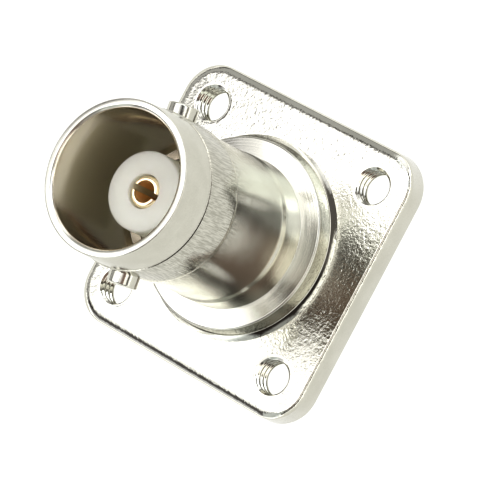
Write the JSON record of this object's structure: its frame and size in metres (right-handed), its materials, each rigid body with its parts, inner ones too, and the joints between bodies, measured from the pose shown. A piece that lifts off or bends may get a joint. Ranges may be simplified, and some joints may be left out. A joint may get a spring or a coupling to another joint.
{
  "type": "bnc panel connector",
  "caption": "Coaxial bayonet jack with a square flange for a panel, a slotted socket contact in a round sleeve, and a solder cup behind.",
  "frame": {"origin": "centre of the flange's mounting face, on the jack's axis", "axes": "+Z along the jack's axis towards the mating end, X and Y parallel to the flange's sides"},
  "size_m": [0.0178, 0.0178, 0.0234],
  "materials": {
    "nickel_body": "bright nickel plate",
    "nickel_studs": "bright nickel plate",
    "nickel_bush": "satin nickel plate",
    "white_insulator": "satin fluoropolymer",
    "gold_contact": "gold plate"
  },
  "bodies": {
    "root": {"jack_body": "nickel_body", "bayonet_stud_upper": "nickel_studs", "bayonet_stud_lower": "nickel_studs", "front_insulator": "white_insulator", "rear_insulator": "white_insulator", "retaining_bush": "nickel_bush", "centre_contact": "gold_contact"}
  },
  "joints": []
}
